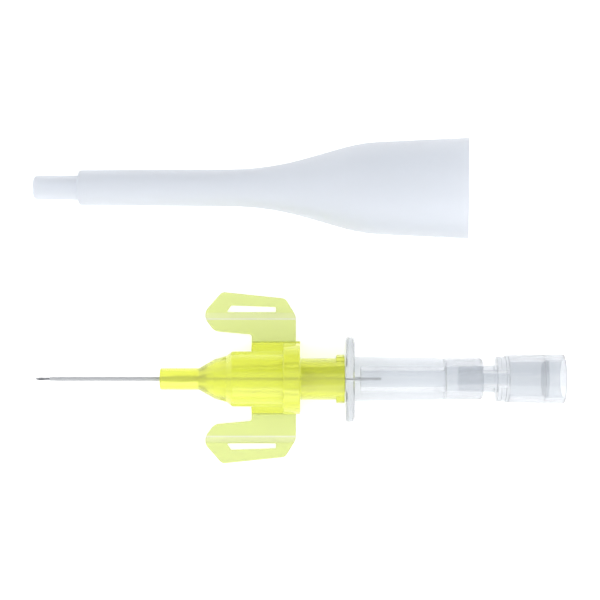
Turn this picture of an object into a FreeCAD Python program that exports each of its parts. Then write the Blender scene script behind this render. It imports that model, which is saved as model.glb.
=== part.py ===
import FreeCAD, Part
import math
import os
import Sketcher

# Winged intravenous cannula, 24 gauge, with its needle unit, vent plug and protective cap.
# Millimetres. X runs along the cannula from the needle's point to the vent plug, Z is up.
# The origin is under the middle of the whole set, on the surface that it lies on.
# Inside the script every piece is drawn along its own X axis, and x = 0 is the front face
# of the hub's nose.

os.makedirs("parts", exist_ok=True)
doc = FreeCAD.newDocument("winged_cannula")
sheet = doc.addObject("Spreadsheet::Sheet", "Sizes")

# Driving sizes
SIZES = {
    # fits and clearances
    "bond_gap": 0.015,
    "luer_gap": 0.03,
    "seat_gap": 0.10,
    "fold_gap": 0.10,
    # cannula hub, outside
    "nose_length": 6.2,
    "nose_radius": 1.74,
    "nose_bevel": 0.2,
    "neck_length": 2.5,
    "neck_radius": 3.2,
    "cone_length": 1.95,
    "cone_radius": 3.75,
    "shoulder_length": 0.87,
    "barrel_length": 10.88,
    "barrel_radius": 4.46,
    "collar_width": 2.76,
    "collar_radius": 5.66,
    "saddle_length": 7.88,
    "saddle_drop": 0.11,
    "saddle_edge": 1.5,
    "socket_length": 7.08,
    "socket_radius": 3.34,
    "lug_length": 1.37,
    "lug_radius": 3.92,
    "lug_width": 3.5,
    # luer cones, radius lost for each millimetre of depth
    "luer_mouth": 2.14,
    "luer_taper": 0.03,
    # cannula hub, inside
    "luer_depth": 10.4,
    "cavity_radius": 1.6,
    "cavity_front": 1.05,
    "cavity_widening": 3.65,
    # catheter and ferrule
    "catheter_reach": 17.7,
    "catheter_gap": 0.025,
    "catheter_wall": 0.095,
    "catheter_taper": 1.6,
    "catheter_tip_wall": 0.035,
    "grip_start": 2.7,
    "grip_length": 2.5,
    "flare_run": 0.5,
    "ferrule_gap": 0.04,
    "ferrule_wall": 0.06,
    "ferrule_neck_end": 6.4,
    "funnel_length": 1.3,
    "funnel_radius": 0.82,
    "funnel_land": 0.15,
    # needle
    "needle_reach": 2.4,
    "needle_radius": 0.23,
    "needle_wall": 0.09,
    "needle_rear": 35.3,
    "bevel_angle": 13,
    "lancet_angle": 18,
    "lancet_roll": 40,
    # needle hub
    "stopper_insert": 6.83,
    "well_radius": 1.25,
    "well_depth": 1.8,
    "bond_hollow": 0.35,
    "flange_width": 13.45,
    "flange_top": 4.4,
    "flange_thickness": 1.42,
    "flange_corner": 2.4,
    "chamber_wall": 0.96,
    "chamber_length": 13.64,
    "chamber_radius": 1.32,
    "grip_front_radius": 3.56,
    "grip_rear_radius": 3.42,
    "grip_barrel_length": 14.25,
    "waist_length": 1.7,
    "waist_radius": 3.22,
    "tail_length": 6.22,
    "tail_radius": 3.31,
    "tail_bevel": 0.45,
    # vent plug and its filter
    "plug_insert": 3.87,
    "plug_stand_off": 2.23,
    "vent_radius": 0.9,
    "ring_length": 1.34,
    "ring_radius": 3.58,
    "sleeve_length": 9.48,
    "sleeve_front_radius": 3.75,
    "sleeve_rear_radius": 3.95,
    "sleeve_wall": 0.82,
    "sleeve_floor": 0.56,
    "cup_depth": 3.2,
    "cup_step": 0.3,
    "filter_thickness": 0.5,
    # wings, measured from the fold line and forwards from the wing's rear edge
    "wing_thickness": 0.6,
    "wing_setback": 0.7,
    "wing_chord": 7.2,
    "notch_rise": 0.95,
    "lobe_under_reach": 13.27,
    "lobe_under_rise": 1.5,
    "lobe_reach": 14.72,
    "lobe_low_rise": 3.45,
    "lobe_high_rise": 4.8,
    "front_corner_reach": 12.0,
    "wing_depth": 7.88,
    "rear_corner_reach": 1.74,
    "rear_corner_rise": 6.82,
    "rear_edge_rise": 4.0,
    "slot_front_reach": 11.25,
    "slot_slant": 0.75,
    "slot_rear_reach": 3.25,
    "slot_inner_rise": 4.6,
    "slot_front_rise": 5.65,
    "slot_rear_rise": 5.4,
    "groove_rise": 3.4,
    "groove_width": 1.1,
    "groove_depth": 0.2,
    "notch_round": 0.4,
    "lobe_round": 1.6875,
    "corner_round": 1.0,
    # protective cap
    "cap_apart": 30.23,
    "cap_lead": 0.52,
    "cap_turn": 0.45,
    "cap_wall": 0.8,
    "cap_tip_length": 7.4,
    "cap_tip_radius": 1.9,
    "cap_tip_rear_radius": 1.97,
    "cap_tip_bevel": 0.3,
    "cap_tube_length": 30.55,
    "cap_tube_radius": 2.8,
    "cap_tube_rear_radius": 2.98,
    "cap_flare_length": 14.7,
    "cap_skirt_front_radius": 7.17,
    "cap_skirt_length": 17.08,
    "cap_mouth_radius": 7.93,
    "cap_flare_sweep": 12.2,
    "cap_skirt_sweep": 6.1,
}
SWEEP_STEPS = 2
for row, (alias, number) in enumerate(SIZES.items(), start=1):
    sheet.set(f"A{row}", alias.replace("_", " "))
    sheet.set(f"B{row}", str(number))
    sheet.setAlias(f"B{row}", alias)
doc.recompute()


def sized(formula):
    """Names the sheet in a formula written with its aliases alone."""
    words = formula.replace("(", " ( ").replace(")", " ) ").split()
    named = [f"Sizes.{word}" if word in SIZES else word for word in words]
    return " ".join(named)


def value(formula):
    """The number that a formula of sheet sizes gives now."""
    return float(sheet.evalExpression(formula))


# Stations along the axis, each a formula of sizes
NECK_START = "nose_length"
CONE_START = f"{NECK_START} + neck_length"
SHOULDER_START = f"{CONE_START} + cone_length"
BARREL_START = f"{SHOULDER_START} + shoulder_length"
BARREL_END = f"{BARREL_START} + barrel_length"
HUB_REAR = f"{BARREL_END} + socket_length"
LUER_FLOOR = f"{HUB_REAR} - luer_depth"
FUNNEL_END = "ferrule_neck_end + funnel_length"
CAVITY_START = f"{FUNNEL_END} + funnel_land"
CATHETER_TIP = "-1 * catheter_reach"
NEEDLE_TIP = f"{CATHETER_TIP} - needle_reach"
STOPPER_TIP = f"{HUB_REAR} - stopper_insert"
FLANGE_FRONT = f"{HUB_REAR} + seat_gap"
FLANGE_REAR = f"{FLANGE_FRONT} + flange_thickness"
GRIP_END = f"{FLANGE_REAR} + grip_barrel_length"
NEEDLE_HUB_REAR = f"{GRIP_END} + tail_length"
CHAMBER_START = f"{FLANGE_REAR} + chamber_wall"
CHAMBER_END = f"{CHAMBER_START} + chamber_length"
PLUG_TIP = f"{NEEDLE_HUB_REAR} - plug_insert"
RING_FRONT = f"{NEEDLE_HUB_REAR} + plug_stand_off"
SLEEVE_FRONT = f"{RING_FRONT} + ring_length"
PLUG_REAR = f"{SLEEVE_FRONT} + sleeve_length"
FILTER_FACE = f"{PLUG_REAR} - cup_depth"
CUP_RADIUS = "sleeve_rear_radius - sleeve_wall"
FILTER_SEAT_RADIUS = f"{CUP_RADIUS} - cup_step"
CATHETER_BORE = "needle_radius + catheter_gap"
CATHETER_RADIUS = f"{CATHETER_BORE} + catheter_wall"
FERRULE_BORE = "needle_radius + ferrule_gap"
FERRULE_RADIUS = f"{FERRULE_BORE} + ferrule_wall"
FLARED_INSIDE = f"{FERRULE_RADIUS} + bond_gap"
FLARED_OUTSIDE = f"{FLARED_INSIDE} + catheter_wall"
SEAT_RADIUS = f"{FLARED_OUTSIDE} + bond_gap"
AXIS_HEIGHT = "barrel_radius + saddle_drop"
SADDLE_HALF = "collar_radius"
FOLD_LINE = f"{SADDLE_HALF} + fold_gap + wing_thickness / 2"
WING_REAR = f"{BARREL_END} - wing_setback"

# The set lies about its own middle, and the cannula's axis lies on the -Y side.
# The cap is measured at its mouth, since it lies turned a little aside.
WING_SPAN_HALF = f"{FOLD_LINE} + wing_depth"
MIDDLE_X = f"( {NEEDLE_TIP} - cap_lead + {PLUG_REAR} ) / 2"
AXIS_Y = f"( {WING_SPAN_HALF} - cap_apart - cap_mouth_radius ) / 2"


def luer(station, mouth, extra="0"):
    """Radius of a luer cone at a station in front of its mouth."""
    return f"luer_mouth - luer_taper * ( {mouth} - ( {station} ) ) - {extra}"


def new_body(label):
    """A body whose own X axis lies on the cannula's axis."""
    body = doc.addObject("PartDesign::Body", label)
    body.Label = label
    body.setExpression("Placement.Base.x", sized(f"-1 * ( {MIDDLE_X} )"))
    body.setExpression("Placement.Base.y", sized(AXIS_Y))
    body.setExpression("Placement.Base.z", sized(AXIS_HEIGHT))
    return body


def attach(body, name, role, offset=None):
    """A sketch on one of the body's own planes, moved along its normal by a formula."""
    sketch = body.newObject("Sketcher::SketchObject", name)
    plane = next(item for item in body.Origin.OriginFeatures if item.Role == role)
    sketch.AttachmentSupport = (plane, [""])
    sketch.MapMode = "FlatFace"
    if offset is not None:
        sketch.setExpression("AttachmentOffset.Base.z", sized(offset))
    doc.recompute()
    return sketch


def hold(sketch, kind, geometry, point, formula):
    """Ties one coordinate of a point of the sketch to a formula."""
    if formula == "0":
        axis = -2 if kind == "DistanceX" else -1
        sketch.addConstraint(Sketcher.Constraint("PointOnObject", geometry, point, axis))
        return
    number = value(formula)
    index = sketch.addConstraint(Sketcher.Constraint(kind, -1, 1, geometry, point, number))
    sketch.setExpression(f"Constraints[{index}]", sized(formula))


def outline(body, name, role, corners, offset=None):
    """A closed outline of straight edges through corners given as pairs of formulas."""
    sketch = attach(body, name, role, offset)
    points = [FreeCAD.Vector(value(across), value(up), 0) for across, up in corners]
    count = len(points)
    for index in range(count):
        edge = Part.LineSegment(points[index], points[(index + 1) % count])
        sketch.addGeometry(edge, False)
    for index in range(count):
        following = (index + 1) % count
        sketch.addConstraint(Sketcher.Constraint("Coincident", index, 2, following, 1))
    for index, (across, up) in enumerate(corners):
        hold(sketch, "DistanceX", index, 1, across)
        hold(sketch, "DistanceY", index, 1, up)
    return sketch


def turned(body, name, corners, kind="Revolution"):
    """A solid, or a cut, turned about the axis from an outline of (station, radius) corners."""
    sketch = outline(body, f"{name}_outline", "XZ_Plane", corners)
    feature = body.newObject(f"PartDesign::{kind}", name)
    feature.Profile = sketch
    feature.ReferenceAxis = (sketch, ["H_Axis"])
    feature.Angle = 360
    doc.recompute()
    return feature


def raised(body, name, sketch, length):
    """A pad along the sketch's normal, its length a formula."""
    feature = body.newObject("PartDesign::Pad", name)
    feature.Profile = sketch
    feature.setExpression("Length", sized(length))
    doc.recompute()
    return feature


def pocketed(body, name, sketch, length):
    """A pocket that starts at the sketch and runs along its normal; it has to remove material."""
    before = body.Shape.Volume
    feature = body.newObject("PartDesign::Pocket", name)
    feature.Profile = sketch
    feature.Reversed = True
    feature.setExpression("Length", sized(length))
    doc.recompute()
    if body.Shape.Volume >= before:
        raise RuntimeError(f"{body.Label}: {name} removed nothing")
    return feature


def rounded(body, name, wanted, radius):
    """Rounds the edges of the body's last feature that the test picks."""
    base = body.Tip
    picked = [f"Edge{number}" for number, edge in enumerate(base.Shape.Edges, start=1) if wanted(edge)]
    if not picked:
        raise RuntimeError(f"{body.Label}: {name} found no edge")
    feature = body.newObject("PartDesign::Fillet", name)
    feature.Base = (base, picked)
    feature.setExpression("Radius", sized(radius))
    doc.recompute()
    return feature


NEAR = 1e-3


def upright_at(corners):
    """A test for the straight edges that stand up at the given (x, y) corners."""
    places = [(value(across), value(along)) for across, along in corners]

    def wanted(edge):
        if not isinstance(edge.Curve, Part.Line):
            return False
        first, last = edge.firstVertex().Point, edge.lastVertex().Point
        if abs(first.x - last.x) > NEAR or abs(first.y - last.y) > NEAR:
            return False
        return any(abs(first.x - x) < NEAR and abs(first.y - y) < NEAR for x, y in places)

    return wanted


def lengthwise_at(corners):
    """A test for the straight edges along X at the given (y, z) corners."""
    places = [(value(across), value(up)) for across, up in corners]

    def wanted(edge):
        if not isinstance(edge.Curve, Part.Line):
            return False
        first, last = edge.firstVertex().Point, edge.lastVertex().Point
        if abs(first.y - last.y) > NEAR or abs(first.z - last.z) > NEAR:
            return False
        return any(abs(first.y - y) < NEAR and abs(first.z - z) < NEAR for y, z in places)

    return wanted


# Catheter: a thin tube with a tapered tip, opened out over the ferrule inside the nose
def make_catheter():
    body = new_body("catheter_tube")
    rear = "grip_start + grip_length"
    turned(body, "tube", [
        (CATHETER_TIP, CATHETER_BORE),
        (CATHETER_TIP, f"{CATHETER_BORE} + catheter_tip_wall"),
        (f"{CATHETER_TIP} + catheter_taper", CATHETER_RADIUS),
        ("grip_start - flare_run", CATHETER_RADIUS),
        ("grip_start", FLARED_OUTSIDE),
        (rear, FLARED_OUTSIDE),
        (rear, FLARED_INSIDE),
        ("grip_start", FLARED_INSIDE),
        ("grip_start - flare_run", CATHETER_BORE),
    ])
    return body


# Ferrule: a drawn metal funnel whose sleeve wedges the catheter's end into the nose
def make_ferrule():
    body = new_body("catheter_ferrule")
    sleeve_start = "grip_start + bond_gap"
    sleeve_end = "grip_start + grip_length + bond_gap"
    neck_start = f"{sleeve_end} + ferrule_wall"
    neck_inside = f"{FLARED_OUTSIDE} - ferrule_wall"
    turned(body, "funnel", [
        (sleeve_start, FERRULE_BORE),
        (sleeve_start, FERRULE_RADIUS),
        (sleeve_end, FERRULE_RADIUS),
        (sleeve_end, FLARED_OUTSIDE),
        ("ferrule_neck_end", FLARED_OUTSIDE),
        (FUNNEL_END, "funnel_radius"),
        (FUNNEL_END, "funnel_radius - ferrule_wall"),
        ("ferrule_neck_end", neck_inside),
        (neck_start, neck_inside),
        (neck_start, FERRULE_BORE),
    ])
    return body


# Hub: turned form, saddle under the barrel, collar behind the wings, luer lugs, stepped bore
def make_cannula_hub():
    body = new_body("cannula_hub")
    turned(body, "outside", [
        ("0", "0"),
        ("0", "nose_radius - nose_bevel"),
        ("nose_bevel", "nose_radius"),
        (NECK_START, "nose_radius"),
        (CONE_START, "neck_radius"),
        (SHOULDER_START, "cone_radius"),
        (BARREL_START, "barrel_radius"),
        (BARREL_END, "barrel_radius"),
        (BARREL_END, "socket_radius"),
        (HUB_REAR, "socket_radius"),
        (HUB_REAR, "0"),
    ])
    floor = f"-1 * ( {AXIS_HEIGHT} )"
    top = f"{floor} + saddle_edge"
    saddle = outline(body, "saddle_section", "YZ_Plane", [
        (f"-1 * {SADDLE_HALF}", floor),
        (SADDLE_HALF, floor),
        (SADDLE_HALF, top),
        ("barrel_radius * 0.95", "barrel_radius * -0.14"),
        ("barrel_radius * -0.95", "barrel_radius * -0.14"),
        (f"-1 * {SADDLE_HALF}", top),
    ], offset=f"{BARREL_END} - saddle_length")
    raised(body, "saddle", saddle, "saddle_length")
    collar = arc_and_chord(body, "collar_section", "collar_radius", floor,
                           f"{BARREL_END} - collar_width")
    raised(body, "collar", collar, "collar_width")
    lugs = lug_section(body, "lug_section", "lug_radius", "lug_width",
                       f"{HUB_REAR} - lug_length")
    raised(body, "lugs", lugs, "lug_length")
    turned(body, "bore", [
        ("0", "0"),
        ("0", f"{CATHETER_RADIUS} + bond_gap"),
        ("grip_start - flare_run", f"{CATHETER_RADIUS} + bond_gap"),
        ("grip_start", SEAT_RADIUS),
        ("ferrule_neck_end", SEAT_RADIUS),
        (FUNNEL_END, "funnel_radius + bond_gap"),
        (CAVITY_START, "funnel_radius + bond_gap"),
        (CAVITY_START, "cavity_front"),
        (f"{CAVITY_START} + cavity_widening", "cavity_radius"),
        (LUER_FLOOR, "cavity_radius"),
        (LUER_FLOOR, luer(LUER_FLOOR, HUB_REAR)),
        (HUB_REAR, "luer_mouth"),
        (HUB_REAR, "0"),
    ], kind="Groove")
    return body


def arc_and_chord(body, name, radius, chord, offset):
    """A disc with a flat underside: an arc about the axis closed by a level chord."""
    sketch = attach(body, name, "YZ_Plane", offset)
    r, low = value(radius), value(chord)
    start = math.asin(low / r)
    circle = Part.Circle(FreeCAD.Vector(0, 0, 0), FreeCAD.Vector(0, 0, 1), r)
    sketch.addGeometry(Part.ArcOfCircle(circle, start, math.pi - start), False)
    half = r * math.cos(start)
    ends = FreeCAD.Vector(-half, low, 0), FreeCAD.Vector(half, low, 0)
    sketch.addGeometry(Part.LineSegment(*ends), False)
    sketch.addConstraint(Sketcher.Constraint("Coincident", 0, 2, 1, 1))
    sketch.addConstraint(Sketcher.Constraint("Coincident", 1, 2, 0, 1))
    sketch.addConstraint(Sketcher.Constraint("Coincident", 0, 3, -1, 1))
    sketch.addConstraint(Sketcher.Constraint("Horizontal", 1))
    index = sketch.addConstraint(Sketcher.Constraint("Radius", 0, r))
    sketch.setExpression(f"Constraints[{index}]", sized(radius))
    hold(sketch, "DistanceY", 1, 1, chord)
    return sketch


def lug_section(body, name, radius, width, offset):
    """Both lugs in one outline: a bar of the lugs' width whose ends are round about the axis."""
    sketch = attach(body, name, "YZ_Plane", offset)
    r, half = value(radius), value(width) / 2
    turn = math.asin(half / r)
    reach = r * math.cos(turn)
    circle = Part.Circle(FreeCAD.Vector(0, 0, 0), FreeCAD.Vector(0, 0, 1), r)
    upper = FreeCAD.Vector(reach, half, 0), FreeCAD.Vector(-reach, half, 0)
    lower = FreeCAD.Vector(-reach, -half, 0), FreeCAD.Vector(reach, -half, 0)
    sketch.addGeometry(Part.ArcOfCircle(circle, -turn, turn), False)
    sketch.addGeometry(Part.LineSegment(*upper), False)
    sketch.addGeometry(Part.ArcOfCircle(circle, math.pi - turn, math.pi + turn), False)
    sketch.addGeometry(Part.LineSegment(*lower), False)
    for first, second in ((0, 1), (1, 2), (2, 3), (3, 0)):
        sketch.addConstraint(Sketcher.Constraint("Coincident", first, 2, second, 1))
    for arc in (0, 2):
        sketch.addConstraint(Sketcher.Constraint("Coincident", arc, 3, -1, 1))
    index = sketch.addConstraint(Sketcher.Constraint("Radius", 0, r))
    sketch.setExpression(f"Constraints[{index}]", sized(radius))
    for flat in (1, 3):
        sketch.addConstraint(Sketcher.Constraint("Horizontal", flat))
    hold(sketch, "DistanceY", 1, 1, f"{width} / 2")
    hold(sketch, "DistanceY", 3, 1, f"{width} / -2")
    return sketch


def round_limit(corners):
    """The largest round that the two middle corners of four can share on the edge between them."""
    before, first, last, after = [FreeCAD.Vector(value(x), value(y), 0) for x, y in corners]
    edge = last - first
    first_turn = edge.getAngle(first - before)
    last_turn = edge.getAngle(after - last)
    return 0.9 * edge.Length / (math.tan(first_turn / 2) + math.tan(last_turn / 2))


# Wing: a flat slotted plate with a forward lobe and a round root that turns in its hinge line
def make_wing(label, side):
    body = new_body(label)

    def at(reach, rise):
        return (f"{WING_REAR} - ( {reach} )", f"{side} * ( {FOLD_LINE} + {rise} )")

    root_front = at("wing_chord", "0")
    notch = at("wing_chord", "notch_rise")
    lobe_under = at("lobe_under_reach", "lobe_under_rise")
    lobe_low = at("lobe_reach", "lobe_low_rise")
    lobe_high = at("lobe_reach", "lobe_high_rise")
    front_corner = at("front_corner_reach", "wing_depth")
    rear_corner = at("rear_corner_reach", "rear_corner_rise")
    rear_edge = at("0", "rear_edge_rise")
    root_rear = at("0", "0")
    plate = outline(body, "plate_outline", "XY_Plane", [
        root_front, notch, lobe_under, lobe_low, lobe_high,
        front_corner, rear_corner, rear_edge, root_rear,
    ], offset=f"-1 * ( {AXIS_HEIGHT} )")
    raised(body, "plate", plate, "wing_thickness")
    root = attach(body, "root_section", "YZ_Plane", f"{WING_REAR} - wing_chord")
    across = f"{side} * ( {FOLD_LINE} )"
    up = f"wing_thickness / 2 - ( {AXIS_HEIGHT} )"
    centre = FreeCAD.Vector(value(across), value(up), 0)
    root.addGeometry(Part.Circle(centre, FreeCAD.Vector(0, 0, 1), value("wing_thickness / 2")), False)
    index = root.addConstraint(Sketcher.Constraint("Radius", 0, value("wing_thickness / 2")))
    root.setExpression(f"Constraints[{index}]", sized("wing_thickness / 2"))
    hold(root, "DistanceX", 0, 3, across)
    hold(root, "DistanceY", 0, 3, up)
    raised(body, "round_root", root, "wing_chord")
    slot = outline(body, "slot_outline", "XY_Plane", [
        at("slot_front_reach", "slot_inner_rise"),
        at("slot_front_reach - slot_slant", "slot_front_rise"),
        at("slot_rear_reach", "slot_rear_rise"),
        at("slot_rear_reach", "slot_inner_rise"),
    ], offset=f"-1 * ( {AXIS_HEIGHT} )")
    pocketed(body, "slot", slot, "wing_thickness")
    groove = outline(body, "groove_outline", "XY_Plane", [
        at("lobe_reach * 1.1", "groove_rise"),
        at("lobe_reach * 1.1", "groove_rise + groove_width"),
        at("lobe_reach * -0.1", "groove_rise + groove_width"),
        at("lobe_reach * -0.1", "groove_rise"),
    ], offset=f"wing_thickness - groove_depth - ( {AXIS_HEIGHT} )")
    rounded(body, "notch_fillet", upright_at([notch]), "notch_round")
    lobe_corners = upright_at([lobe_under, lobe_low, lobe_high, rear_edge])
    limit = round_limit([lobe_under, lobe_low, lobe_high, front_corner])
    rounded(body, "lobe_fillet", lobe_corners, f"( lobe_round < {limit} ) ? lobe_round : {limit}")
    rounded(body, "corner_fillet", upright_at([front_corner, rear_corner]), "corner_round")
    pocketed(body, "groove", groove, "groove_depth")
    return body


# Needle: a hollow tube ground to a bevel, with two lancet facets beside the point
def make_needle():
    outer = doc.addObject("Part::Cylinder", "needle_outer")
    outer.setExpression("Radius", sized("needle_radius"))
    inner = doc.addObject("Part::Cylinder", "needle_inner")
    inner.setExpression("Radius", sized("needle_radius - needle_wall"))
    lengthwise = FreeCAD.Rotation(FreeCAD.Vector(0, 1, 0), 90)
    for rod in (outer, inner):
        rod.setExpression("Height", sized(f"needle_rear - ( {NEEDLE_TIP} )"))
        rod.Placement = FreeCAD.Placement(FreeCAD.Vector(0, 0, 0), lengthwise)
        rod.setExpression("Placement.Base.x", sized(NEEDLE_TIP))
    tube = doc.addObject("Part::Cut", "needle_blank")
    tube.Base = outer
    tube.Tool = inner
    grinds = [grind("bevel_grind", "bevel_angle", "0")]
    grinds.append(grind("left_lancet_grind", "lancet_angle", "lancet_roll"))
    grinds.append(grind("right_lancet_grind", "lancet_angle", "-1 * lancet_roll"))
    stones = doc.addObject("Part::MultiFuse", "grinding_cuts")
    stones.Shapes = grinds
    needle = doc.addObject("Part::Cut", "needle_tube")
    needle.Base = tube
    needle.Tool = stones
    needle.Label = "needle_tube"
    needle.setExpression("Placement.Base.x", sized(f"-1 * ( {MIDDLE_X} )"))
    needle.setExpression("Placement.Base.y", sized(AXIS_Y))
    needle.setExpression("Placement.Base.z", sized(AXIS_HEIGHT))
    return needle


def grind(name, pitch, roll):
    """A block whose underside is a grinding plane through the point at the needle's lower edge."""
    block = doc.addObject("Part::Box", name)
    block.setExpression("Length", sized("needle_radius * 24"))
    block.setExpression("Width", sized("needle_radius * 8"))
    block.setExpression("Height", sized("needle_radius * 8"))
    pitched = FreeCAD.Rotation(FreeCAD.Vector(0, 1, 0), -value(pitch))
    rolled = FreeCAD.Rotation(FreeCAD.Vector(1, 0, 0), value(roll))
    turn = rolled.multiply(pitched)
    point = FreeCAD.Vector(value(NEEDLE_TIP), 0, -value("needle_radius"))
    corner = FreeCAD.Vector(value("needle_radius * -4"), value("needle_radius * -4"), 0)
    block.Placement = FreeCAD.Placement(point + turn.multVec(corner), turn)
    return block


# Adhesive in the well of the needle hub's nose, hollow where it has wetted the wall
def make_bond():
    body = new_body("needle_bond")
    around_needle = "needle_radius + bond_gap"
    floor = f"{STOPPER_TIP} + well_depth - bond_gap"
    turned(body, "bead", [
        (f"{STOPPER_TIP} + bond_hollow", around_needle),
        (STOPPER_TIP, "well_radius - bond_gap"),
        (floor, "well_radius - bond_gap"),
        (floor, around_needle),
    ])
    return body


# Needle hub: male luer nose, thumb flange, flash chamber and the socket for the plug
def make_needle_hub():
    body = new_body("needle_hub")
    well_floor = f"{STOPPER_TIP} + well_depth"
    turned(body, "outside", [
        (STOPPER_TIP, "0"),
        (STOPPER_TIP, luer(STOPPER_TIP, HUB_REAR, "luer_gap")),
        (FLANGE_FRONT, luer(FLANGE_FRONT, HUB_REAR, "luer_gap")),
        (FLANGE_FRONT, "grip_front_radius"),
        (FLANGE_REAR, "grip_front_radius"),
        (f"{GRIP_END} - waist_length", "grip_rear_radius"),
        (GRIP_END, "waist_radius"),
        (f"{GRIP_END} + tail_bevel / 4", "tail_radius"),
        (f"{NEEDLE_HUB_REAR} - tail_bevel", "tail_radius"),
        (NEEDLE_HUB_REAR, "tail_radius - tail_bevel"),
        (NEEDLE_HUB_REAR, "0"),
    ])
    side = "flange_width / 2"
    floor = f"-1 * ( {AXIS_HEIGHT} )"
    corners = [
        (f"-1 * {side}", floor),
        (side, floor),
        (side, "flange_top"),
        (f"-1 * {side}", "flange_top"),
    ]
    flange = outline(body, "flange_section", "YZ_Plane", corners, offset=FLANGE_FRONT)
    raised(body, "flange", flange, "flange_thickness")
    rounded(body, "flange_corners", lengthwise_at(corners), "flange_corner")
    turned(body, "bore", [
        (STOPPER_TIP, "0"),
        (STOPPER_TIP, "well_radius"),
        (well_floor, "well_radius"),
        (well_floor, "needle_radius + bond_gap"),
        (CHAMBER_START, "needle_radius + bond_gap"),
        (CHAMBER_START, "chamber_radius"),
        (CHAMBER_END, "chamber_radius"),
        (CHAMBER_END, luer(CHAMBER_END, NEEDLE_HUB_REAR)),
        (NEEDLE_HUB_REAR, "luer_mouth"),
        (NEEDLE_HUB_REAR, "0"),
    ], kind="Groove")
    return body


# Vent plug: male nose, ring, and a sleeve that is open at the rear
def make_plug():
    body = new_body("vent_plug")
    turned(body, "outside", [
        (PLUG_TIP, "vent_radius"),
        (PLUG_TIP, luer(PLUG_TIP, NEEDLE_HUB_REAR, "luer_gap")),
        (RING_FRONT, luer(RING_FRONT, NEEDLE_HUB_REAR, "luer_gap")),
        (RING_FRONT, "ring_radius"),
        (SLEEVE_FRONT, "ring_radius"),
        (SLEEVE_FRONT, "sleeve_front_radius"),
        (PLUG_REAR, "sleeve_rear_radius"),
        (PLUG_REAR, CUP_RADIUS),
        (FILTER_FACE, CUP_RADIUS),
        (FILTER_FACE, FILTER_SEAT_RADIUS),
        (f"{SLEEVE_FRONT} + sleeve_floor", FILTER_SEAT_RADIUS),
        (f"{SLEEVE_FRONT} + sleeve_floor", "vent_radius"),
    ])
    return body


# Filter: a porous disc on the step inside the sleeve
def make_filter():
    body = new_body("vent_filter")
    rear = f"{FILTER_FACE} + filter_thickness"
    turned(body, "disc", [
        (FILTER_FACE, "0"),
        (FILTER_FACE, f"{CUP_RADIUS} - bond_gap"),
        (rear, f"{CUP_RADIUS} - bond_gap"),
        (rear, "0"),
    ])
    return body


# Cap: one thin wall, stepped tip, long tube, swept flare and a skirt open at the mouth
def make_cap():
    body = new_body("protective_cap")
    tube_start = "cap_tip_length"
    flare_start = f"{tube_start} + cap_tube_length"
    skirt_start = f"{flare_start} + cap_flare_length"
    mouth = f"{skirt_start} + cap_skirt_length"
    tube_slope = "( cap_tube_rear_radius - cap_tube_radius ) / cap_tube_length"
    flare_slope = "( cap_skirt_front_radius - cap_tube_rear_radius ) / cap_flare_length"
    skirt_slope = "( cap_mouth_radius - cap_skirt_front_radius ) / cap_skirt_length"
    widening = swept(flare_start, "cap_tube_rear_radius", tube_slope, flare_slope, "cap_flare_sweep")
    widening += swept(skirt_start, "cap_skirt_front_radius", flare_slope, skirt_slope, "cap_skirt_sweep")
    turned(body, "outside", [
        ("0", "0"),
        ("0", "cap_tip_radius - cap_tip_bevel"),
        ("cap_tip_bevel", "cap_tip_radius"),
        (tube_start, "cap_tip_rear_radius"),
        (tube_start, "cap_tube_radius"),
        *widening,
        (mouth, "cap_mouth_radius"),
        (mouth, "0"),
    ])
    bore = "cap_tube_radius - cap_wall"
    tip_bore = "cap_tip_radius - cap_wall"
    turned(body, "hollow", [
        ("cap_wall", "0"),
        ("cap_wall", tip_bore),
        (f"{tube_start} + cap_wall", tip_bore),
        (f"{tube_start} + cap_wall", bore),
        (widening[0][0], bore),
        *[(station, f"{radius} - cap_wall") for station, radius in widening[1:]],
        (mouth, "cap_mouth_radius - cap_wall"),
        (mouth, "0"),
    ], kind="Groove")
    lay_cap(body, (tube_start, "cap_tube_radius"), widening, mouth)
    return body


def swept(station, radius, slope_in, slope_out, run):
    """Corners that bend one slope into the next along a run about a station, as a parabola does."""
    start = f"{station} - {run} / 2"
    low = f"{radius} - {slope_in} * {run} / 2"
    corners = []
    for step in range(SWEEP_STEPS + 1):
        along = f"{run} * {step / SWEEP_STEPS}"
        bend = f"( {slope_out} - {slope_in} ) * {run} * {(step / SWEEP_STEPS) ** 2 / 2}"
        corners.append((f"{start} + {along}", f"{low} + {slope_in} * {along} + {bend}"))
    return corners


def lay_cap(body, shoulder, widening, mouth):
    """Lays the cap on its tube's front shoulder and the bend at the front of its skirt."""
    front, front_radius = value(shoulder[0]), value(shoulder[1])
    slopes = [(value(radius) - front_radius) / (value(station) - front) for station, radius in widening]
    tilt = math.atan(max(slopes))
    height = front_radius * math.cos(tilt) - front * math.sin(tilt)
    tip_set = value("cap_tip_radius") * math.sin(tilt)
    aside = value(mouth) * math.cos(tilt) * math.sin(math.radians(value("cap_turn")))
    raised_mouth = FreeCAD.Rotation(FreeCAD.Vector(0, 1, 0), -math.degrees(tilt))
    turned_aside = FreeCAD.Rotation(FreeCAD.Vector(0, 0, 1), -value("cap_turn"))
    place = FreeCAD.Vector(0, 0, height)
    body.Placement = FreeCAD.Placement(place, turned_aside.multiply(raised_mouth))
    body.setExpression("Placement.Base.x", sized(f"{NEEDLE_TIP} - {MIDDLE_X} - cap_lead + {tip_set}"))
    body.setExpression("Placement.Base.y", sized(f"{AXIS_Y} + cap_apart + {aside}"))
    body.setExpression("Placement.Base.z", None)
    body.Placement.Base.z = height
    print(f"cap lies tilted {math.degrees(tilt):.2f} degrees")


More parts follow.
